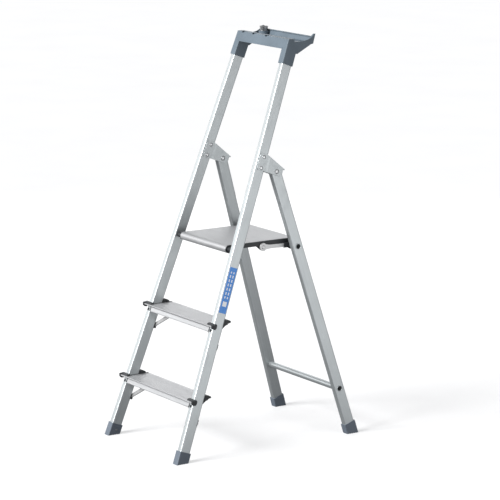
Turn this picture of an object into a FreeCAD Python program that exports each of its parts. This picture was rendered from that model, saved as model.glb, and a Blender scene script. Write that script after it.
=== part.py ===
import FreeCAD, Part
import math
import os
from FreeCAD import Placement, Rotation, Vector

# A folding platform ladder: two treads, a hinged platform and a tool tray on top.
# Millimetres, +Z up, +Y towards the rear legs, origin on the floor at the middle of
# the footprint. The right side (+X) is modelled and the left side is its mirror image.

# Driving dimensions -----------------------------------------------------------
front_y = -384.1            # front line of the front stiles where it meets the floor
front_half_width = 230.0    # outer face of a front stile at the floor
front_lean = 19.4           # degrees the front frame leans back
front_splay = 3.07          # degrees each front stile leans inwards
stile_width = 22.0
stile_depth = 40.0
stile_top = 1487.0          # length of a stile along its own axis
tube_wall = 1.8
tube_corner = 4.5           # outside radius of the stiles' and legs' edges

hinge_y = front_y + 434.5
hinge_z = 961.5
rear_half_width = 228.8
rear_lean = 17.98
rear_splay = 3.16
leg_width = 21.0
leg_depth = 41.0
leg_top = 1040.0            # length of the bar a leg is cut from
leg_top_radius = 20.0
upper_tube_reach = 282.0    # distance from the hinge down the leg to each cross tube
lower_tube_reach = 833.0
cross_tube_radius = 11.0
swaged_radius = 10.0        # the ends of the cross tubes, where they pass through the legs

tread_heights = {"lower": 210.0, "upper": 460.0}
tread_nose = -15.0          # measured from the front line of the stiles
tread_back = 84.0
tread_plate = 4.0
apron_drop = 25.0

platform_height = 716.0
platform_half_width = 138.3
platform_back = front_y + 541.0
nosing_radius = 14.0
pivot_y = front_y + 264.0
pivot_z = platform_height - nosing_radius
stay_y = front_y + 403.0    # where the stays meet the platform's side rails
stay_z = 696.0

foot_wall = 3.0
front_foot_height = 47.5
rear_foot_height = 35.0
sole = 4.0

cap_wall = 3.0
cap_top = 1409.7
sleeve_start = 1411.5       # along the stile
tray_floor = 1395.5
rear_wall_top = 1413.5
ear_top = 1423.0

pin_radius = 5.0
running_gap = 0.05

# Basic shapes -----------------------------------------------------------------


def box(x0, x1, y0, y1, z0, z1):
    return Part.makeBox(x1 - x0, y1 - y0, z1 - z0, Vector(x0, y0, z0))


def rounded_box(x0, x1, y0, y1, z0, z1, radius):
    """A box with its four edges along Z rounded."""
    shape = box(x0, x1, y0, y1, z0, z1)
    upright = []
    for edge in shape.Edges:
        ends = [vertex.Point for vertex in edge.Vertexes]
        if abs(ends[0].z - ends[1].z) > 1e-6:
            upright.append(edge)
    return shape.makeFillet(radius, upright)


def prism(points, low, high):
    """The outline of (y, z) points, extruded along X from low to high."""
    corners = [Vector(low, y, z) for y, z in points]
    face = Part.Face(Part.makePolygon(corners + [corners[0]]))
    return face.extrude(Vector(high - low, 0, 0))


def upright_prism(points, low, high):
    """The outline of (x, y) points, extruded along Z from low to high."""
    corners = [Vector(x, y, low) for x, y in points]
    face = Part.Face(Part.makePolygon(corners + [corners[0]]))
    return face.extrude(Vector(0, 0, high - low))


def cylinder_x(radius, x0, x1, y, z):
    return Part.makeCylinder(radius, x1 - x0, Vector(x0, y, z), Vector(1, 0, 0))


def cone_x(r0, r1, x0, x1, y, z):
    return Part.makeCone(r0, r1, x1 - x0, Vector(x0, y, z), Vector(1, 0, 0))


def domed_rivet(shank_radius, x0, x1, head_radius, head_height, y, z):
    """A shank along X from x0 to x1 with a domed head beyond each end."""
    ball = (head_radius ** 2 + head_height ** 2) / (2 * head_height)
    inset = ball - head_height
    rim = math.degrees(math.asin(inset / ball))
    shank = cylinder_x(shank_radius, x0, x1, y, z)
    first = Part.makeSphere(ball, Vector(x0 + inset, y, z), Vector(-1, 0, 0), rim, 90, 360)
    last = Part.makeSphere(ball, Vector(x1 - inset, y, z), Vector(1, 0, 0), rim, 90, 360)
    return shank.fuse([first, last])


def put(shape, placement):
    moved = shape.copy()
    moved.Placement = placement.multiply(moved.Placement)
    return moved


def fuse(shapes):
    return shapes[0].multiFuse(shapes[1:]).removeSplitter()


def mirrored(shape):
    return shape.mirror(Vector(0, 0, 0), Vector(1, 0, 0))


def write(name, *shapes):
    solids = [solid for shape in shapes for solid in shape.Solids]
    node = solids[0] if len(solids) == 1 else Part.makeCompound(solids)
    node.exportStep("parts/" + name + ".step")


def write_pair(name, *shapes):
    write(name + "_right", *shapes)
    write(name + "_left", *[mirrored(shape) for shape in shapes])


# Frames of reference ----------------------------------------------------------
# In the front frame X is the world's, Y runs from the front line into the depth of a
# stile and Z runs up the stiles. stile_frame has its origin on a stile's outer face.

front_frame = Placement(Vector(0, front_y, 0), Rotation(Vector(1, 0, 0), -front_lean))
to_right_stile = Placement(Vector(front_half_width, 0, 0), Rotation(Vector(0, 1, 0), -front_splay))
stile_frame = front_frame.multiply(to_right_stile)

rear_sin = math.sin(math.radians(rear_lean))
rear_cos = math.cos(math.radians(rear_lean))
rear_y = hinge_y - leg_depth / 2 / rear_cos + hinge_z * rear_sin / rear_cos
rear_frame = Placement(Vector(0, rear_y, 0), Rotation(Vector(1, 0, 0), rear_lean))
to_right_leg = Placement(Vector(rear_half_width, 0, 0), Rotation(Vector(0, 1, 0), -rear_splay))
leg_frame = rear_frame.multiply(to_right_leg)

lean_slope = math.tan(math.radians(front_lean))
lean_cos = math.cos(math.radians(front_lean))


def front_line(z):
    """Y of the stiles' front face at height z."""
    return front_y + z * lean_slope


def stile_face(z, depth=0.0):
    """X of a stile's outer face at height z, in the plane of its front face."""
    local = Vector(0, depth, (z + depth * math.sin(math.radians(front_lean))) / lean_cos)
    return stile_frame.multVec(local).x


def down_the_leg(reach):
    return hinge_y + reach * rear_sin, hinge_z - reach * rear_cos


upper_tube = down_the_leg(upper_tube_reach)
lower_tube = down_the_leg(lower_tube_reach)
hinge_depth = (hinge_y - front_line(hinge_z)) * lean_cos
hinge_middle = stile_face(hinge_z, hinge_depth) - stile_width / 2

far = 2000.0
below_floor = box(-far, far, -far, far, -200, 0)
below_sole = box(-far, far, -far, far, -200, sole)


def full_tube(frame, width, depth, length):
    """The outside of a stile or leg as a solid bar."""
    return put(rounded_box(-width, 0, 0, depth, -40, length, tube_corner), frame)


def tube_bore(frame, width, depth, length):
    """The hollow inside a stile or leg."""
    bore = rounded_box(-width + tube_wall, -tube_wall, tube_wall, depth - tube_wall, -40, length,
                       tube_corner - tube_wall)
    return put(bore, frame)


def full_stile():
    return full_tube(stile_frame, stile_width, stile_depth, stile_top)


def full_leg():
    return full_tube(leg_frame, leg_width, leg_depth, leg_top)


# Fasteners of the front frame -------------------------------------------------

bracket_sheet = 2.5
bracket_bulge = 1.2          # how far each cheek steps out around the leg
rivet_places = ((23.5, 1086.4), (23.2, 1048.0))


def bracket_rivets():
    rivets = []
    for depth, along in rivet_places:
        x0 = -stile_width - bracket_sheet
        rivets.append(put(domed_rivet(4.0, x0, bracket_sheet, 7.0, 2.6, depth, along), stile_frame))
    return rivets


def hinge_pin():
    reach = stile_width / 2 + bracket_sheet + bracket_bulge + 0.3
    return domed_rivet(pin_radius, hinge_middle - reach, hinge_middle + reach, 8.5, 3.2, hinge_y, hinge_z)


def platform_pin():
    inner = stile_face(pivot_z) - stile_width
    return cylinder_x(pin_radius, platform_half_width + 0.6, inner + 14, pivot_y, pivot_z)


def tread_plug(height):
    """An oval plug that stands out of the stile's front face, just under a tread's nose."""
    along = (height - 17.5) / lean_cos
    middle = -stile_width / 2
    proud = 2.4
    ends = [Part.makeCylinder(3.0, proud + 2.0, Vector(middle, -proud, along + step), Vector(0, 1, 0))
            for step in (-2.0, 2.0)]
    core = box(middle - 3, middle + 3, -proud, 2.0, along - 2.0, along + 2.0)
    return put(fuse(ends + [core]), stile_frame)


# Knee braces ------------------------------------------------------------------

brace_thick = 4.0
brace_half = 6.5
brace_slope = 34.0           # degrees between the bar and the line across the frame
brace_drop = 79.0            # how far below the tread the bar starts
brace_gap = 1.4              # between the stile's back and the bar
brace_rivet_inset = 7.5      # from the stile's inner face to the lower rivet
block_depth = 6.8


def brace_parts(height):
    """The flat bar from the back of a stile up to the underside of a tread, and its end block."""
    top_z = height - tread_plate
    above = box(-far, far, -far, far, top_z, far)
    foot_z = height - brace_drop
    foot_t = (foot_z + stile_depth * math.sin(math.radians(front_lean))) / lean_cos
    foot_x = stile_face(foot_z) - stile_width + brace_rivet_inset
    d0 = stile_depth + brace_gap
    d1 = d0 + brace_thick
    slope = math.radians(brace_slope)
    top_t = top_z / lean_cos + 14
    length = (top_t - foot_t) / math.sin(slope)
    tilt = Placement(Vector(foot_x, 0, foot_t), Rotation(Vector(0, 1, 0), 180 + brace_slope))
    bar = put(box(-4, length, d0, d1, -brace_half, brace_half), front_frame.multiply(tilt)).cut(above)
    block = box(foot_x - 8.5, foot_x + 4, stile_depth - 4, stile_depth + block_depth, foot_t - 10, foot_t + 10)
    block = put(block, front_frame).cut(full_stile())
    lug_x = foot_x - (top_t - foot_t) / math.tan(slope) + 24
    lug_t = foot_t + (foot_x - lug_x) * math.tan(slope)
    lug = put(box(lug_x - 9, lug_x + 9, d1, d1 + 3, lug_t - 8, lug_t + 40), front_frame).cut(above)
    foot_rivet = brace_rivet(foot_x, foot_t, stile_depth - 4, stile_depth + block_depth)
    top_rivet = brace_rivet(lug_x, lug_t, d0, d1 + 3)
    bar = bar.cut(foot_rivet).cut(top_rivet)
    return bar, block.cut(foot_rivet).cut(bar), [foot_rivet, top_rivet], lug.cut(top_rivet)


def brace_rivet(x, along, d0, d1):
    """A blind rivet through the depth of the frame with a low head behind."""
    shank = Part.makeCylinder(2.6, d1 - d0, Vector(x, d0, along), Vector(0, 1, 0))
    head = Part.makeCone(4.8, 3.0, 1.8, Vector(x, d1, along), Vector(0, 1, 0))
    return put(shank.fuse(head), front_frame)


# Treads -----------------------------------------------------------------------


leg_clearance = 68.5         # depth behind the front line where the folded legs begin


def tread_end(height):
    """X where the tread's body stops, against the shoe's thin flange."""
    return stile_face(height) - stile_width - 1.2


def tread_lip(height):
    """The rounded front edge, which runs on in front of both stiles."""
    y0 = front_line(height)
    wide = stile_face(height) + 10.0
    nose = y0 + tread_nose
    under = height - tread_plate
    lip = box(-wide, wide, nose + 2.5, y0 - tread_plate * lean_slope - 0.4, under, height)
    bead = cylinder_x(2.5, -wide, wide, nose + 2.5, height - 2.5)
    return lip.fuse(bead)


def tread(height):
    y0 = front_line(height)
    end = tread_end(height)
    nose = y0 + tread_nose
    back = y0 + tread_back
    under = height - tread_plate
    lean_under = tread_plate * lean_slope
    lean_apron = apron_drop * lean_slope
    wall = 2.4
    plate = box(-end, end, nose + 2.5, back, under, height)
    slanted = prism([(y0 - lean_under, under), (y0 - lean_under + wall, under),
                     (y0 - lean_apron + wall, height - apron_drop),
                     (y0 - lean_apron, height - apron_drop)], -end, end)
    toe = box(-end, end, y0 - lean_apron, y0 - lean_apron + 9, height - apron_drop, height - apron_drop + 2)
    flange = box(-end, end, back - 2.5, back, height - 7, under)
    middle_rib = box(-end, end, y0 + 52, y0 + 54, height - 12, under)
    backing = box(-end, end, y0 - 2, y0 + 4, height - 13, under)
    body = fuse([plate, tread_lip(height), slanted, toe, flange, middle_rib, backing])
    shadow_line = box(-far, far, y0 - 8, y0 + 1, height - 9.8, height - 6.8)
    groove_pitch = 7.0
    groove_count = 12
    grooves = []
    for index in range(groove_count):
        y = nose + 9.0 + index * groove_pitch
        grooves.append(box(-far, far, y, y + 2.4, height - 1.2, height + 1))
    return body.cut(Part.makeCompound(grooves)).cut(shadow_line)


def tread_shoe(height):
    """The plastic end shoe: a thin flange by the stile, a cap on the lip and a rear wedge."""
    y0 = front_line(height)
    inner = stile_face(height) - stile_width
    outer = stile_face(height)
    end = tread_end(height)
    back = y0 + tread_back
    nose = y0 + tread_nose
    lean_apron = apron_drop * lean_slope
    flange = prism([(y0 - 3, height - 4), (y0 - 3, height + 1), (y0 + 44, height + 1.5), (back - 3, height + 2),
                    (back, height - 1), (back, height - 5), (y0 + 60, height - 12), (y0 + 44, height - 24),
                    (y0 - lean_apron, height - 24), (y0 - 2.2, height - 6)], end, inner + 4)
    lip_cap = prism([(nose - 1.5, height - 6), (nose - 1.5, height + 3), (nose + 1, height + 4.5),
                     (y0 + 3, height + 4.5), (y0 + 5, height + 1), (y0 + 2, height - 9),
                     (y0 - 3, height - 13), (nose + 4, height - 12)], outer + 7, outer + 13)
    ridge = prism([(nose + 5, height), (nose + 6.5, height + 4), (y0 - 4, height + 5.5),
                   (y0 + 3, height + 5.5), (y0 + 3, height)], inner - 6, outer + 13)
    wedge = prism([(y0 + 46.5, height + 13), (y0 + 52, height + 13), (y0 + 61, height + 11.5),
                   (y0 + 68, height + 8), (y0 + 71.5, height + 5.5), (y0 + 71.5, height + 2),
                   (y0 + 42.4, height - 5), (y0 + 40, height - 5.6)], end, outer - 2)
    shoe = fuse([flange, lip_cap, ridge, wedge])
    along = height / lean_cos
    room_for_leg = put(box(inner - 0.8, outer + 20, leg_clearance, 140, along - 60, along + 60), front_frame)
    shoe = shoe.cut(room_for_leg).cut(full_stile())
    return shoe.cut(tread_lip(height))


# Front stile and its foot -----------------------------------------------------


def front_stile():
    bore = tube_bore(stile_frame, stile_width, stile_depth, stile_top)
    stile = full_stile().cut(bore).cut(below_sole)
    for rivet in bracket_rivets():
        stile = stile.cut(rivet)
    for height in tread_heights.values():
        stile = stile.cut(tread_plug(height))
        for rivet in brace_parts(height)[2]:
            stile = stile.cut(rivet)
    return stile.cut(platform_pin()).cut(cap_rivet()).cut(foot_rivet())


def foot(frame, width, depth, height, bar):
    """A moulded shoe around the lower end of a tube, with a ribbed flat sole."""
    shell = rounded_box(-width - foot_wall, foot_wall, -foot_wall, depth + foot_wall, -40, height, 3.0)
    shoe = put(shell, frame).cut(below_floor)
    shoe = shoe.cut(bar.cut(below_sole))
    ground = shoe.common(box(-far, far, -far, far, 0, 1)).BoundBox
    middle_y = (ground.YMin + ground.YMax) / 2
    grooves = [box(-far, far, middle_y + y, middle_y + y + 3, -1, 1.2) for y in (-14, -6.5, 1, 8.5)]
    return shoe.cut(Part.makeCompound(grooves))


def foot_rivet():
    """A small rivet through the inner wall of a front foot into the stile."""
    middle_depth = stile_depth / 2 + 2
    shank = cylinder_x(2.4, -stile_width - foot_wall, -stile_width + 3, middle_depth, 27)
    head = cone_x(3.4, 4.6, -stile_width - foot_wall - 1.5, -stile_width - foot_wall, middle_depth, 27)
    return put(shank.fuse(head), stile_frame)


# Hinge bracket ----------------------------------------------------------------


def hinge_bracket():
    """Two cheeks over the stile and the leg, joined by a sloping web on top."""
    low = 1039.5
    cheek_front = 5.0
    web_start = (35.4, 1097.2)
    web_end = (121.0, 1068.1)
    slope = (web_end[1] - web_start[1]) / (web_end[0] - web_start[0])
    reach = 114.5
    outline = prism([(cheek_front + 6, low), (cheek_front, low + 6), (cheek_front, 1092),
                     (cheek_front + 6, 1098), (web_start[0], 1098),
                     (reach, web_start[1] + slope * (reach - web_start[0])),
                     (reach, low + 9), (reach - 9, low)], -60, 40)
    step_start = stile_depth + 2
    step_end = stile_depth + 10
    bulge = bracket_bulge
    sheet = bracket_sheet
    cheek = upright_prism([(0, 0), (0, step_start), (bulge, step_end), (bulge, 130),
                           (bulge + sheet, 130), (bulge + sheet, step_end), (sheet, step_start), (sheet, 0)],
                          low - 5, 1110)
    other = cheek.mirror(Vector(-stile_width / 2, 0, 0), Vector(1, 0, 0))
    cheeks = fuse([cheek.common(outline), other.common(outline)])
    start = 41.0
    thick = 3.0
    web_top = web_start[1] + slope * (start - web_start[0])
    web = prism([(start, web_top), web_end, (web_end[0] - 1.0, web_end[1] - thick), (start, web_top - thick)],
                -stile_width - bulge - sheet, bulge + sheet)
    bracket = put(fuse([cheeks, web]), stile_frame)
    for rivet in bracket_rivets():
        bracket = bracket.cut(rivet)
    return bracket.cut(hinge_pin())


# Top cap with tray ------------------------------------------------------------

socket_x = -116.0
socket_y = front_y + 580.0
socket_radius = 15.0
pad_top = 1407.5
tool_holes = (-118.0, -56.0, 20.0)
tray_front = front_y + 517.0


def sleeve():
    shape = rounded_box(-stile_width - cap_wall, cap_wall, -cap_wall, stile_depth + cap_wall,
                        sleeve_start, 1560, 3.0)
    shape = put(shape, stile_frame)
    shape = shape.cut(box(-far, far, -far, far, cap_top, far))
    return shape.cut(box(-far, far, tray_front, far, tray_floor + 1, far))


def gusset():
    """The side wall of the tray, running down to the back of a sleeve, with a thicker foot."""
    wall = [(515, 1397.5), (519, 1397.5), (558, 1401), (575, 1404), (590, 1411.5), (601.5, ear_top),
            (606, ear_top), (597, 1389), (588, 1387.5), (530, 1357), (523, 1361), (512, 1375)]
    thick_foot = [(514, 1394), (588, 1394), (588, 1387.5), (530, 1357), (523, 1361), (512, 1375)]
    return fuse([prism([(front_y + y, z) for y, z in wall], 149.6, 152.9),
                 prism([(front_y + y, z) for y, z in thick_foot], 133.0, 151.0)])


def ear():
    """The triangular corner that rises from the rear wall to the tip of a side wall."""
    outline = ((134, rear_wall_top - 2), (152.9, rear_wall_top - 2), (152.9, ear_top), (149, ear_top))
    corners = [Vector(x, front_y + 598.6, z) for x, z in outline]
    face = Part.Face(Part.makePolygon(corners + [corners[0]]))
    slab = face.extrude(Vector(0, 5.5, 0))
    behind = prism([(front_y + 603.0, rear_wall_top - 2), (front_y + 606.0, ear_top), (front_y + 620, ear_top),
                    (front_y + 620, rear_wall_top - 2)], 100, 160)
    return slab.cut(behind)


def cap_rivet():
    """A blind rivet through the back of a sleeve into the stile."""
    middle = Vector(-stile_width / 2, stile_depth - 4, 1432)
    shank = Part.makeCylinder(2.4, cap_wall + 4, middle, Vector(0, 1, 0))
    head = Part.makeCone(4.6, 3.0, 1.6, middle + Vector(0, cap_wall + 4, 0), Vector(0, 1, 0))
    return put(shank.fuse(head), stile_frame)


def top_cap():
    slant = cap_wall / lean_cos
    low = 1376.0
    inner = stile_face(low) - stile_width
    outer = 151.0
    face_low = front_line(low) - slant
    face_high = front_line(cap_top) - slant
    front = prism([(face_low, low), (face_low + slant + 0.6, low), (face_high + slant + 0.6, cap_top),
                   (face_high, cap_top)], -inner, inner)
    bead = prism([(face_low - 0.9, low), (face_low + 0.5, low), (face_low + 2.3, low + 5),
                  (face_low + 0.9, low + 5)], -inner - 1, inner + 1)
    roof = box(-outer, outer, face_high + 0.5, tray_front, cap_top - cap_wall, cap_top)
    step = box(-inner, inner, tray_front - 3, tray_front, 1381, cap_top)
    floor = box(-outer, outer, tray_front - 3, front_y + 594, tray_floor - cap_wall, tray_floor)
    rear = prism([(front_y + 588, 1387.5), (front_y + 597, 1389), (front_y + 603.3, rear_wall_top),
                  (front_y + 596, rear_wall_top), (front_y + 595.2, rear_wall_top - 2.2),
                  (front_y + 598.4, rear_wall_top - 2.2), (front_y + 592.2, tray_floor),
                  (front_y + 588, tray_floor - 3)], -152.5, 152.5)
    pad = Part.makeCylinder(socket_radius + 3, pad_top - tray_floor + 1,
                            Vector(socket_x, socket_y, tray_floor - 1), Vector(0, 0, 1))
    ribs = [prism([(front_y + 516, 1394), (front_y + 590, 1394), (front_y + 590, 1389),
                   (front_y + 516, 1382)], x - 1.2, x + 1.2) for x in (-75, 0, 75)]
    right = [sleeve(), gusset(), ear()]
    left = [mirrored(shape) for shape in right]
    cap = fuse([front, bead, roof, step, floor, rear, pad] + ribs + right + left)
    holes = []
    for x in tool_holes:
        holes.append(rounded_box(x - 6, x + 6, face_high - 4, face_high + 17.5, cap_top - 3.6, cap_top + 2, 3))
    holes.append(Part.makeCylinder(4.5, 12, Vector(-30, front_y + 532, tray_floor - 6), Vector(0, 0, 1)))
    for index in range(6):
        x = -62.0 + index * 34.0
        holes.append(rounded_box(x - 12, x + 12, front_y + 580, front_y + 586, tray_floor - 6, tray_floor + 2, 2.4))
    holes.append(Part.makeCylinder(6.0, 30, Vector(socket_x, socket_y, tray_floor - 15), Vector(0, 0, 1)))
    cap = cap.cut(Part.makeCompound(holes))
    for bar in (full_stile(), mirrored(full_stile()), cap_rivet(), mirrored(cap_rivet())):
        cap = cap.cut(bar)
    return cap


def tray_socket():
    """A short metal cup on the tray, with a rim at its top."""
    height = 17.0
    base = Vector(socket_x, socket_y, pad_top)
    up = Vector(0, 0, 1)
    wall = Part.makeCylinder(socket_radius - 1.0, height, base, up)
    rim = Part.makeCylinder(socket_radius, 2.2, base + Vector(0, 0, height - 2.2), up)
    collar = Part.makeCylinder(socket_radius, 2.0, base, up)
    bore = Part.makeCylinder(socket_radius - 3.0, height, base + Vector(0, 0, 2.0), up)
    stem = Part.makeCylinder(6.0, 14.0, base - Vector(0, 0, 14.0), up)
    return fuse([wall, rim, collar, stem]).cut(bore)


# Rear frame -------------------------------------------------------------------


def tube_hole(place, radius):
    return cylinder_x(radius, -far, far, place[0], place[1])


def leg_face(reach, inner):
    """X of the leg's outer or inner face on its middle line, reach below the hinge."""
    y, z = down_the_leg(reach)
    local = leg_frame.inverse().multVec(Vector(200, y, z))
    return leg_frame.multVec(Vector(-leg_width if inner else 0, leg_depth / 2, local.z)).x


def rear_leg():
    bore = tube_bore(leg_frame, leg_width, leg_depth, leg_top)
    leg = full_leg().cut(bore).cut(below_sole)
    hinge_along = leg_frame.inverse().multVec(Vector(170, hinge_y, hinge_z)).z
    shank = put(box(-60, 60, -20, 80, -60, hinge_along), leg_frame)
    crown = cylinder_x(leg_top_radius, -300, 300, hinge_y, hinge_z)
    leg = leg.common(shank.fuse(crown))
    leg = leg.cut(cylinder_x(pin_radius + running_gap, 0, 300, hinge_y, hinge_z))
    for place in (upper_tube, lower_tube):
        leg = leg.cut(tube_hole(place, swaged_radius))
    return leg


def hinge_washers():
    """Plastic washers on the pin, on both sides of the leg."""
    local = leg_frame.inverse().multVec(Vector(170, hinge_y, hinge_z))
    thick = 0.6
    washers = []
    for x in (0.0, -leg_width - thick):
        disc = put(cylinder_x(10.0, x, x + thick, local.y, local.z), leg_frame)
        washers.append(disc.cut(cylinder_x(pin_radius + running_gap, 0, 300, hinge_y, hinge_z)))
    return washers


def cross_tube(place, reach):
    """A round tube with reduced ends that pass through the legs and are flared outside."""
    y, z = place
    inner = leg_face(reach, True) + 0.7
    outer = leg_face(reach, False) + 1.2
    body = cylinder_x(cross_tube_radius, -inner, inner, y, z)
    ends = cylinder_x(swaged_radius, -outer, outer, y, z)
    flare = cylinder_x(swaged_radius + 1.4, outer - 2.0, outer, y, z)
    tube = fuse([body, ends, flare, mirrored(flare)])
    bore = cylinder_x(swaged_radius - 1.1, -far, far, y, z)
    return tube.cut(bore).cut(rear_leg()).cut(mirrored(rear_leg()))


# Platform ---------------------------------------------------------------------

rail_thick = 4.0
rail_low = 700.0


def nosing_outline(radius, x0, x1, back):
    """A bar with a half-round front and a flat back at the platform's pivot."""
    low = pivot_z - radius
    high = pivot_z + radius
    round_front = cylinder_x(radius, x0, x1, pivot_y, pivot_z)
    round_front = round_front.common(box(x0, x1, pivot_y - radius, pivot_y, low, high))
    return fuse([round_front, box(x0, x1, pivot_y, pivot_y + back, low, high)])


def saddle():
    """Room for the upper cross tube under the platform's back edge."""
    return cylinder_x(cross_tube_radius + 0.3, -far, far, upper_tube[0], upper_tube[1])


def platform_deck():
    half = platform_half_width
    sheet = 2.6
    top = box(-half, half, pivot_y, platform_back, platform_height - sheet, platform_height)
    nosing = nosing_outline(nosing_radius, -half, half, 6.0)
    hollow = nosing_outline(nosing_radius - sheet, -half, half, 6.0 - sheet)
    sides = [box(x0, x0 + 2.5, pivot_y + 6, platform_back, rail_low + 2, platform_height - sheet)
             for x0 in (-half, half - 2.5)]
    back = box(-half, half, platform_back - 2.5, platform_back, rail_low + 4, platform_height - sheet)
    deck = fuse([top, nosing] + sides + [back])
    return deck.cut(hollow).cut(saddle())


def side_rail():
    """The plastic rail along one side of the platform, with a boss for the stay."""
    x0 = platform_half_width
    x1 = x0 + rail_thick
    top = platform_height - 0.5
    bar = prism([(pivot_y + 6.5, rail_low), (pivot_y + 6.5, top), (platform_back - 3, top),
                 (platform_back, top - 3), (platform_back, rail_low)], x0, x1)
    boss = cylinder_x(13.0, x0, x1, stay_y, stay_z)
    skirt = prism([(stay_y - 26, rail_low), (stay_y + 26, rail_low), (stay_y + 9, stay_z - 9),
                   (stay_y - 9, stay_z - 9)], x0, x1)
    pad = cylinder_x(8.0, x1, x1 + 1.4, stay_y, stay_z)
    return fuse([bar, boss, skirt, pad]).cut(saddle())


def nosing_plug():
    """Closes the end of the nosing and carries the platform's pivot."""
    x0 = platform_half_width
    plate = nosing_outline(nosing_radius, x0, x0 + rail_thick, 6.0)
    spigot = nosing_outline(nosing_radius - 2.8, x0 - 12, x0, 3.2)
    inner = stile_face(pivot_z) - stile_width
    boss = cylinder_x(9.0, x0 + rail_thick, inner - 1.0, pivot_y, pivot_z)
    bore = cylinder_x(pin_radius + running_gap, x0 + 0.4, inner + 5, pivot_y, pivot_z)
    return fuse([plate, spigot, boss]).cut(bore)


# Stays ------------------------------------------------------------------------

stay_x = platform_half_width + rail_thick + 2.0
stay_thick = 5.0
stay_half = 6.5
eye_radius = 14.0
clip_radius = 15.0


def along_stay(shape):
    """Places a shape drawn with the tube at the origin and the stay along -Y."""
    dy = stay_y - upper_tube[0]
    dz = stay_z - upper_tube[1]
    tilt = math.degrees(math.atan2(-dz, -dy))
    place = Placement(Vector(0, upper_tube[0], upper_tube[1]), Rotation(Vector(1, 0, 0), tilt))
    return put(shape, place)


stay_length = math.hypot(stay_y - upper_tube[0], stay_z - upper_tube[1])


def stay_rivet():
    """The rivet at the eye, held by the stay itself: the platform's boss is just beside it."""
    shank = cylinder_x(4.0, stay_x, stay_x + stay_thick, stay_y, stay_z)
    head = cone_x(7.5, 5.0, stay_x + stay_thick, stay_x + stay_thick + 2.4, stay_y, stay_z)
    return shank.fuse(head)


def stay():
    x1 = stay_x + stay_thick
    bar = box(stay_x, x1, -stay_length, -cross_tube_radius - 2.5, -stay_half, stay_half)
    neck = prism([(-stay_length + 26, -stay_half), (-stay_length + 26, stay_half),
                  (-stay_length + 10, 9.6), (-stay_length + 10, -9.6)], stay_x, x1)
    eye = cylinder_x(eye_radius, stay_x, x1, -stay_length, 0)
    groove = box(x1 - 1.3, x1 + 1, -stay_length + 22, -cross_tube_radius - 20, -2.4, 2.4)
    link = along_stay(fuse([bar, neck, eye]).cut(groove))
    return link.cut(stay_rivet())


def stay_clip():
    """The plastic clip that holds the end of the stay and turns on the cross tube."""
    x0 = stay_x - 0.4
    x1 = stay_x + stay_thick + 2.2
    ring = cylinder_x(clip_radius, x0, x1, 0, 0)
    tail = box(x0, x1, -32, 0, -stay_half - 2, stay_half + 2)
    bore = cylinder_x(cross_tube_radius + running_gap, x0 - 1, x1 + 1, 0, 0)
    return along_stay(fuse([ring, tail]).cut(bore)).cut(stay()).cut(stay_bar_room())


def stay_bar_room():
    """The pocket in the clip that the bar's end fills."""
    pocket = box(stay_x, stay_x + stay_thick, -stay_length, -cross_tube_radius - 2.5, -stay_half, stay_half)
    return along_stay(pocket)


# Label ------------------------------------------------------------------------


def stile_label():
    low = 505.0 / lean_cos
    high = 656.0 / lean_cos
    return put(box(0, 0.3, 5.0, stile_depth - 5.0, low, high), stile_frame)


# Build ------------------------------------------------------------------------


def build():
    os.makedirs("parts", exist_ok=True)
    write_pair("front_stile", front_stile())
    front_foot = foot(stile_frame, stile_width, stile_depth, front_foot_height, full_stile())
    write_pair("front_foot", front_foot.cut(foot_rivet()))
    write("foot_rivets", foot_rivet(), mirrored(foot_rivet()))
    write_pair("rear_leg", rear_leg())
    write_pair("rear_foot", foot(leg_frame, leg_width, leg_depth, rear_foot_height, full_leg()))
    plugs = []
    blocks = []
    brace_rivets = []
    for name, height in tread_heights.items():
        bar, block, rivets, lug = brace_parts(height)
        write("tread_" + name, fuse([tread(height), lug, mirrored(lug)]))
        write_pair("tread_shoe_" + name, tread_shoe(height))
        write_pair("brace_" + name, bar)
        plugs.append(tread_plug(height))
        blocks.append(block)
        brace_rivets.extend(rivets)
    for name, group in (("tread_plugs", plugs), ("brace_blocks", blocks), ("brace_rivets", brace_rivets)):
        write(name, *group, *[mirrored(shape) for shape in group])
    write_pair("hinge_bracket", hinge_bracket())
    write_pair("bracket_rivets", *bracket_rivets())
    write_pair("hinge_pin", hinge_pin())
    write_pair("hinge_washers", *hinge_washers())
    write("top_cap", top_cap())
    write("tray_socket", tray_socket())
    write("cap_rivets", cap_rivet(), mirrored(cap_rivet()))
    write("stile_label", stile_label())
    write("upper_cross_tube", cross_tube(upper_tube, upper_tube_reach))
    write("lower_cross_tube", cross_tube(lower_tube, lower_tube_reach))
    write("platform_deck", platform_deck())
    write_pair("platform_rail", side_rail())
    write_pair("nosing_plug", nosing_plug())
    write_pair("platform_pin", platform_pin())
    write_pair("stay", stay())
    write_pair("stay_clip", stay_clip())
    write_pair("stay_rivet", stay_rivet())


build()
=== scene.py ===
import math

import bpy
from mathutils import Matrix, Vector


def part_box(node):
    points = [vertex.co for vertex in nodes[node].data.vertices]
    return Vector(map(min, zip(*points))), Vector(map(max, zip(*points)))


# Looks for the folding platform ladder: node materials for every CAD piece, small
# round-offs on their edges, soft studio light, a pale floor and the camera. Metres.

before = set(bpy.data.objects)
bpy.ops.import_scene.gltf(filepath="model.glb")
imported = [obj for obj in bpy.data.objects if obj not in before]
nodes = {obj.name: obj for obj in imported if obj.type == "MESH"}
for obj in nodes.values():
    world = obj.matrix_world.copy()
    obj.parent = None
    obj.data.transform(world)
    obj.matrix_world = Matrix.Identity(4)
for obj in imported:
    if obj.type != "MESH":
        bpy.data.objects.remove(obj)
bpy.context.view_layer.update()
scene = bpy.context.scene

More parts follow.
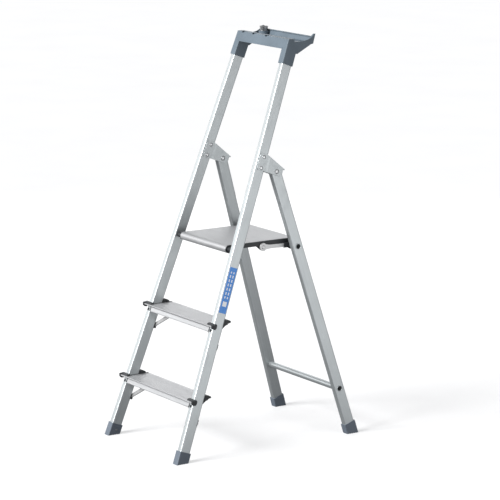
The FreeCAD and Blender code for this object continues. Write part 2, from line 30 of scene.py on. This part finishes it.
FRONT_LEAN = math.radians(19.4)
FRONT_SPLAY = math.radians(3.07)
REAR_LEAN = math.radians(17.98)
REAR_SPLAY = math.radians(3.16)
UPRIGHT = (0.0, 0.0, 0.0)
ACROSS = (0.0, math.radians(90), 0.0)
SIDES = ("left", "right")

# Radii of the rounded-off edges.
METAL_EDGE = 0.0009
PLASTIC_EDGE = 0.0010
TURNED_EDGE = 0.0006

# How deep each surface's fine relief is.
METAL_RELIEF = 0.00010
PLASTIC_RELIEF = 0.00012
TURNED_RELIEF = 0.00002
FILM_RELIEF = 0.00006

CREASE_REACH = 0.008     # painted shade darkens the colour where another face is this near
RING_RATE = 9000.0       # radians per metre, outward from the axis


def shade(tone, factor, lift=0.0):
    """The tone made darker or lighter, held at white."""
    return tuple(min(1.0, channel * factor + lift) for channel in tone)


# Node materials ---------------------------------------------------------------


class Surface:
    """A node material with a Principled shader, in coordinates turned to the grain of the piece."""

    def __init__(self, name, grain=UPRIGHT, metallic=0.0, roughness=0.5, **sockets):
        self.material = bpy.data.materials.new(name)
        self.material.use_nodes = True
        self.tree = self.material.node_tree
        self.tree.nodes.clear()
        output = self.tree.nodes.new("ShaderNodeOutputMaterial")
        self.shader = self.tree.nodes.new("ShaderNodeBsdfPrincipled")
        self.tree.links.new(self.shader.outputs[0], output.inputs["Surface"])
        self.shader.inputs["Metallic"].default_value = metallic
        self.shader.inputs["Roughness"].default_value = roughness
        for socket, value in sockets.items():
            self.shader.inputs[socket.replace("_", " ")].default_value = value
        place = self.add("ShaderNodeTexCoord")
        turn = self.add("ShaderNodeMapping", Vector=place.outputs["Object"], Rotation=grain)
        turn.vector_type = "TEXTURE"
        self.grain = turn.outputs[0]
        self.place = place.outputs["Object"]

    def add(self, kind, **inputs):
        node = self.tree.nodes.new(kind)
        for key, value in inputs.items():
            self.feed(node.inputs[key.replace("_", " ")], value)
        return node

    def feed(self, socket, value):
        if isinstance(value, bpy.types.NodeSocket):
            self.tree.links.new(value, socket)
        elif isinstance(value, (tuple, list)) and len(value) == 3 and socket.type == "RGBA":
            socket.default_value = (*value, 1.0)
        else:
            socket.default_value = value

    def math(self, operation, a, b=0.0, clamp=False):
        node = self.tree.nodes.new("ShaderNodeMath")
        node.operation = operation
        node.use_clamp = clamp
        self.feed(node.inputs[0], a)
        self.feed(node.inputs[1], b)
        return node.outputs[0]

    def vector(self, operation, a, b=(0.0, 0.0, 0.0)):
        node = self.tree.nodes.new("ShaderNodeVectorMath")
        node.operation = operation
        self.feed(node.inputs[0], a)
        self.feed(node.inputs[1], b)
        return node.outputs["Value"] if operation in ("LENGTH", "DOT_PRODUCT") else node.outputs[0]

    def noise(self, scale, detail=2.0, roughness=0.55, source=None):
        """Noise with features about 1/scale metres long; scale is one number or one per axis."""
        across = (scale, scale, scale) if isinstance(scale, (int, float)) else scale
        stretched = self.vector("MULTIPLY", self.grain if source is None else source, across)
        node = self.add("ShaderNodeTexNoise", Vector=stretched, Scale=1.0,
                        Detail=detail, Roughness=roughness)
        return node.outputs["Fac"]

    def spread(self, value, low, high, out_low=0.0, out_high=1.0):
        """Stretches value from low..high to out_low..out_high, and holds it there."""
        node = self.add("ShaderNodeMapRange", Value=value)
        node.inputs["From Min"].default_value = low
        node.inputs["From Max"].default_value = high
        node.inputs["To Min"].default_value = out_low
        node.inputs["To Max"].default_value = out_high
        return node.outputs[0]

    def blend(self, amount, first, second):
        """A colour between first and second."""
        node = self.tree.nodes.new("ShaderNodeMix")
        node.data_type = "RGBA"
        self.feed(node.inputs["Factor"], amount)
        self.feed(node.inputs[6], first)
        self.feed(node.inputs[7], second)
        return node.outputs[2]

    def edges(self, radius):
        """Near 1 along the piece's sharp edges, 0 on its flats; also the rounded-off normal."""
        rounded = self.add("ShaderNodeBevel", Radius=radius)
        rounded.samples = 4
        flat = self.add("ShaderNodeNewGeometry")
        turned = self.vector("DOT_PRODUCT", rounded.outputs[0], flat.outputs["Normal"])
        return self.spread(turned, 0.995, 0.86), rounded.outputs[0]

    def bump(self, height, distance, strength, normal=None):
        node = self.add("ShaderNodeBump", Height=height, Distance=distance, Strength=strength)
        if normal is not None:
            self.feed(node.inputs["Normal"], normal)
        return node.outputs[0]

    def finish(self, color=None, roughness=None, normal=None):
        for socket, value in (("Base Color", color), ("Roughness", roughness), ("Normal", normal)):
            if value is not None:
                self.feed(self.shader.inputs[socket], value)
        return self.material


def grain_of(lean, splay):
    """Turns that stand the grain's Z axis along a leaning and splayed tube."""
    turned = Matrix.Rotation(lean, 3, "X") @ Matrix.Rotation(splay, 3, "Y")
    return tuple(turned.to_euler("XYZ"))


def aluminium(name, tone, grain, roughness=0.36, streak=1.0, wear=1.0):
    """Extruded aluminium: die lines along it, faint clouding, scratches and handling marks."""
    s = Surface(name, grain, metallic=0.78, roughness=roughness, Specular_IOR_Level=0.5)
    die_lines = s.noise((620.0, 620.0, 3.0), 3.0)
    fine_lines = s.noise((2600.0, 2600.0, 9.0), 2.0)
    clouds = s.noise(9.0, 4.0, 0.6)
    marks = s.noise((38.0, 38.0, 14.0), 6.0, 0.7)
    shifted = s.vector("ADD", s.grain, (0.31, 0.17, 0.05))
    scratch_field = s.noise((75.0, 420.0, 24.0), 2.0, 0.4, shifted)
    scratches = s.spread(scratch_field, 0.715, 0.74, 0.0, 0.55 * wear)
    edge_wear_and_highlight, rounded = s.edges(METAL_EDGE)
    color = s.blend(s.spread(die_lines, 0.32, 0.68), shade(tone, 0.90), shade(tone, 1.07))
    color = s.blend(s.spread(clouds, 0.38, 0.72, 0.0, 0.35 * streak), color, shade(tone, 0.86))
    color = s.blend(s.spread(marks, 0.60, 0.78, 0.0, 0.30 * wear), color, shade(tone, 0.78))
    color = s.blend(scratches, color, shade(tone, 1.28))
    # Painted highlight and edge wear: the colour is lightened along the sharp edges.
    color = s.blend(s.math("MULTIPLY", edge_wear_and_highlight, 0.45), color, shade(tone, 1.22))
    rough = s.spread(die_lines, 0.3, 0.7, roughness - 0.05, roughness + 0.06)
    rough = s.math("ADD", rough, s.spread(marks, 0.52, 0.75, 0.0, 0.12))
    rough = s.math("SUBTRACT", rough, s.math("MULTIPLY", edge_wear_and_highlight, 0.08))
    relief = s.math("ADD", s.math("MULTIPLY", fine_lines, 0.4), s.math("MULTIPLY", die_lines, 0.8))
    relief = s.math("SUBTRACT", relief, s.math("MULTIPLY", scratches, 0.6))
    return s.finish(color, rough, s.bump(relief, METAL_RELIEF, 0.45, rounded))


def moulded(name, tone, roughness=0.5, grain_size=1500.0, wear=1.0):
    """Moulded plastic: a fine grain, faint flow marks, rubbed edges lightened with a painted
    highlight, and painted shade in corners.
    """
    s = Surface(name, roughness=roughness, Specular_IOR_Level=0.42)
    pits = s.noise(grain_size, 2.0, 0.6)
    flow = s.noise((14.0, 22.0, 9.0), 3.0, 0.6)
    scuffs = s.noise((60.0, 150.0, 60.0), 5.0, 0.7)
    edge_wear_and_highlight, rounded = s.edges(PLASTIC_EDGE)
    creases = s.add("ShaderNodeAmbientOcclusion", Distance=CREASE_REACH)
    creases.samples = 4
    painted_crease_shade = s.spread(creases.outputs["AO"], 0.35, 0.85, 0.35, 0.0)
    color = s.blend(s.spread(flow, 0.35, 0.7), shade(tone, 0.92), shade(tone, 1.10, 0.002))
    color = s.blend(s.spread(pits, 0.3, 0.7, 0.0, 0.18), color, shade(tone, 0.72))
    color = s.blend(s.spread(scuffs, 0.60, 0.74, 0.0, 0.22 * wear), color, shade(tone, 1.25, 0.03))
    # Painted shade: the colour is darkened in corners and creases, wherever the occlusion node finds
    # another face near.
    color = s.blend(painted_crease_shade, color, shade(tone, 0.8, 0.02))
    # Painted highlight and edge wear: the colour is lightened along the sharp edges, scaled by wear.
    color = s.blend(s.math("MULTIPLY", edge_wear_and_highlight, 0.30 * wear), color, shade(tone, 1.5, 0.05))
    rough = s.spread(scuffs, 0.35, 0.75, roughness - 0.06, roughness + 0.10)
    rough = s.math("SUBTRACT", rough, s.math("MULTIPLY", edge_wear_and_highlight, 0.10))
    relief = s.math("ADD", pits, s.math("MULTIPLY", flow, 1.5))
    return s.finish(color, rough, s.bump(relief, PLASTIC_RELIEF, 0.5, rounded))


def turned_metal(name, tone, centre, across, roughness=0.28):
    """Turned metal with rings round an axis through centre; across is 1 on the axes square to it."""
    s = Surface(name, metallic=0.95, roughness=roughness)
    offset = s.vector("SUBTRACT", s.place, centre)
    flat = s.vector("MULTIPLY", offset, across)
    distance = s.vector("LENGTH", flat)
    rings = s.math("SINE", s.math("MULTIPLY", distance, RING_RATE))
    stain = s.noise(90.0, 4.0, 0.65)
    edge_wear_and_highlight, rounded = s.edges(TURNED_EDGE)
    color = s.blend(s.spread(stain, 0.4, 0.7), tone, shade(tone, 0.8))
    # Painted highlight and edge wear: the colour is lightened along the sharp edges.
    color = s.blend(s.math("MULTIPLY", edge_wear_and_highlight, 0.5), color, shade(tone, 1.25))
    rough = s.spread(stain, 0.35, 0.7, roughness - 0.04, roughness + 0.12)
    return s.finish(color, rough, s.bump(rings, TURNED_RELIEF, 0.3, rounded))


def label_print():
    """Blue film with two ticked pale bars along it and a pale block at its foot; no lettering."""
    bars_middle, bars_half = 0.018, 0.047
    bar_offset, bar_half = 0.0055, 0.0022
    block_middle, block_half = -0.048, 0.0085
    tick_rate, tick_level = 420.0, -0.35
    low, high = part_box("stile_label")
    grain = grain_of(-FRONT_LEAN, -FRONT_SPLAY)
    s = Surface("label_film", grain, roughness=0.3, Specular_IOR_Level=0.5,
                Coat_Weight=0.35, Coat_Roughness=0.12)
    turn = Matrix.Rotation(-FRONT_LEAN, 3, "X") @ Matrix.Rotation(-FRONT_SPLAY, 3, "Y")
    corners = [turn.transposed() @ Vector((x, y, z)) for x in (low.x, high.x)
               for y in (low.y, high.y) for z in (low.z, high.z)]
    middle = sum(corners, Vector()) / len(corners)
    axes = s.add("ShaderNodeSeparateXYZ", Vector=s.vector("SUBTRACT", s.grain, tuple(middle)))
    across, along = axes.outputs["Y"], axes.outputs["Z"]

    def band(value, centre, half):
        gap = s.math("ABSOLUTE", s.math("SUBTRACT", value, centre))
        return s.math("LESS_THAN", gap, half)

    tall = band(along, bars_middle, bars_half)
    bars = s.math("MAXIMUM", band(across, -bar_offset, bar_half), band(across, bar_offset, bar_half))
    ticks = s.math("GREATER_THAN", s.math("SINE", s.math("MULTIPLY", along, tick_rate)), tick_level)
    white = s.math("MULTIPLY", s.math("MULTIPLY", tall, bars), ticks)
    block = s.math("MULTIPLY", band(along, block_middle, block_half), band(across, 0.0, block_half))
    white = s.math("MAXIMUM", white, block)
    wear = s.noise((300.0, 300.0, 40.0), 5.0, 0.7)
    ink = s.blend(s.spread(wear, 0.3, 0.7), (0.030, 0.220, 0.680), (0.045, 0.270, 0.760))
    color = s.blend(white, ink, (0.86, 0.88, 0.90))
    color = s.blend(s.spread(wear, 0.66, 0.72, 0.0, 0.5), color, (0.50, 0.62, 0.78))
    return s.finish(color, s.spread(wear, 0.3, 0.75, 0.22, 0.42), s.bump(wear, FILM_RELIEF, 0.4))


SILVER = (0.50, 0.53, 0.54)
PALE = (0.52, 0.525, 0.535)
GREY_PLASTIC = (0.112, 0.145, 0.176)
SLATE = (0.112, 0.134, 0.165)
BLACK = (0.024, 0.027, 0.030)
ZINC = (0.62, 0.62, 0.62)
DULL_STEEL = (0.20, 0.21, 0.22)
RIVET_METAL = (0.70, 0.71, 0.72)
SOCKET_METAL = (0.34, 0.35, 0.36)
ROUND_X = (0.0, 1.0, 1.0)
ROUND_Z = (1.0, 1.0, 0.0)

for side, sign in zip(SIDES, (-1, 1)):
    stile_grain = grain_of(-FRONT_LEAN, -sign * FRONT_SPLAY)
    leg_grain = grain_of(REAR_LEAN, -sign * REAR_SPLAY)
    stile = aluminium("stile_aluminium_" + side, SILVER, stile_grain)
    leg = aluminium("leg_aluminium_" + side, SILVER, leg_grain)
    bracket = aluminium("bracket_aluminium_" + side, shade(SILVER, 1.05), ACROSS, 0.42, 0.7)
    pin_low, pin_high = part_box("hinge_pin_" + side)
    pin_middle = tuple((pin_low + pin_high) / 2)
    rivet = turned_metal("rivet_metal_" + side, RIVET_METAL, pin_middle, ROUND_X)
    nodes["front_stile_" + side].data.materials[0] = stile
    nodes["rear_leg_" + side].data.materials[0] = leg
    nodes["hinge_bracket_" + side].data.materials[0] = bracket
    for name in ("hinge_pin_", "bracket_rivets_"):
        nodes[name + side].data.materials[0] = rivet

slate = moulded("slate_plastic", SLATE, 0.55)
black = moulded("black_plastic", BLACK, 0.48)
cap_plastic = moulded("cap_plastic", GREY_PLASTIC, 0.50, wear=0.5)
tread_metal = aluminium("tread_aluminium", PALE, ACROSS, 0.46)
platform_metal = aluminium("platform_aluminium", shade(PALE, 0.97), ACROSS, 0.52)
tube_metal = aluminium("tube_aluminium", SILVER, ACROSS, 0.34)
zinc = aluminium("zinc_plate", ZINC, UPRIGHT, 0.42, wear=0.6)
dull_steel = aluminium("dull_steel", DULL_STEEL, UPRIGHT, 0.45)
socket_low, socket_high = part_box("tray_socket")
socket_middle = tuple((socket_low + socket_high) / 2)
socket_metal = turned_metal("socket_metal", SOCKET_METAL, socket_middle, ROUND_Z)

MADE_OF = {
    slate: ["front_foot_", "rear_foot_"],
    black: ["tread_shoe_lower_", "tread_shoe_upper_", "platform_rail_", "nosing_plug_", "stay_clip_",
            "hinge_washers_"],
    zinc: ["stay_", "stay_rivet_", "platform_pin_", "brace_lower_", "brace_upper_"],
}
for material, starts in MADE_OF.items():
    for start in starts:
        for side in SIDES:
            nodes[start + side].data.materials[0] = material
SINGLE = {
    "tread_lower": tread_metal, "tread_upper": tread_metal, "platform_deck": platform_metal,
    "upper_cross_tube": tube_metal, "lower_cross_tube": tube_metal, "top_cap": cap_plastic,
    "tray_socket": socket_metal, "tread_plugs": black, "brace_blocks": black, "brace_rivets": zinc,
    "cap_rivets": zinc, "foot_rivets": dull_steel, "stile_label": label_print(),
}
for name, material in SINGLE.items():
    nodes[name].data.materials[0] = material


# Floor, light and camera ------------------------------------------------------


def studio_floor():
    """A pale floor. It takes shadows but throws no light up and shows in no reflection."""
    half = 40.0
    corners = [(-half, -half, 0), (half, -half, 0), (half, half, 0), (-half, half, 0)]
    mesh = bpy.data.meshes.new("studio_floor")
    mesh.from_pydata(corners, [], [(0, 1, 2, 3)])
    floor = bpy.data.objects.new("studio_floor", mesh)
    scene.collection.objects.link(floor)
    s = Surface("studio_floor", roughness=0.8, Specular_IOR_Level=0.1,
                Emission_Color=(1.0, 1.0, 1.0, 1.0), Emission_Strength=0.50)
    clouds = s.spread(s.noise(2.0, 3.0), 0.3, 0.7)
    tone = s.blend(clouds, (0.44, 0.44, 0.445), (0.46, 0.46, 0.465))
    mesh.materials.append(s.finish(tone))
    floor.visible_diffuse = False
    floor.visible_glossy = False


def soft_sun(name, direction, strength, width):
    """A broad even light from the given direction; width is in degrees."""
    data = bpy.data.lights.new(name, "SUN")
    data.energy = strength
    data.angle = math.radians(width)
    light = bpy.data.objects.new(name, data)
    light.rotation_mode = "QUATERNION"
    light.rotation_quaternion = Vector(direction).to_track_quat("Z", "Y")
    scene.collection.objects.link(light)


def soft_light(name, direction, distance, size, power, target=(0.0, 0.0, 0.7)):
    """A square soft box in the given direction from the target, facing it."""
    data = bpy.data.lights.new(name, "AREA")
    data.shape = "SQUARE"
    data.size = size
    data.energy = power
    data.spread = math.radians(150)
    light = bpy.data.objects.new(name, data)
    away = Vector(direction).normalized()
    light.location = Vector(target) + away * distance
    light.rotation_mode = "QUATERNION"
    light.rotation_quaternion = away.to_track_quat("Z", "Y")
    light.visible_camera = False
    scene.collection.objects.link(light)


studio_floor()
soft_sun("key", (-0.04, -0.85, 0.50), strength=5.4, width=30.0)
soft_light("panel_front_left", (-0.84, -0.52, 0.20), distance=4.5, size=2.4, power=20.0)
soft_light("panel_back_left", (-0.80, 0.57, 0.22), distance=4.5, size=3.4, power=36.0)
soft_light("panel_right", (0.95, 0.20, 0.0), distance=1.6, size=1.9, power=10.0)

world = bpy.data.worlds.new("studio")
scene.world = world
world.use_nodes = True
background = world.node_tree.nodes["Background"]
background.inputs["Color"].default_value = (0.93, 0.95, 0.98, 1.0)
background.inputs["Strength"].default_value = 0.26
scene.view_settings.view_transform = "Standard"

CAMERA_PLACE = (6.9581, -4.8537, 2.3905)
CAMERA_YAW = math.radians(54.73)
CAMERA_PITCH = math.radians(11.51)
CAMERA_ROLL = math.radians(0.779)
camera_data = bpy.data.cameras.new("camera")
camera_data.sensor_width = 36.0
camera_data.lens = 178.56
camera_data.clip_end = 200.0
camera = bpy.data.objects.new("camera", camera_data)
camera.location = CAMERA_PLACE
aim = Matrix.Rotation(CAMERA_YAW, 3, "Z") @ Matrix.Rotation(math.radians(90) - CAMERA_PITCH, 3, "X")
camera.rotation_euler = (aim @ Matrix.Rotation(CAMERA_ROLL, 3, "Z")).to_euler()
scene.collection.objects.link(camera)
scene.camera = camera
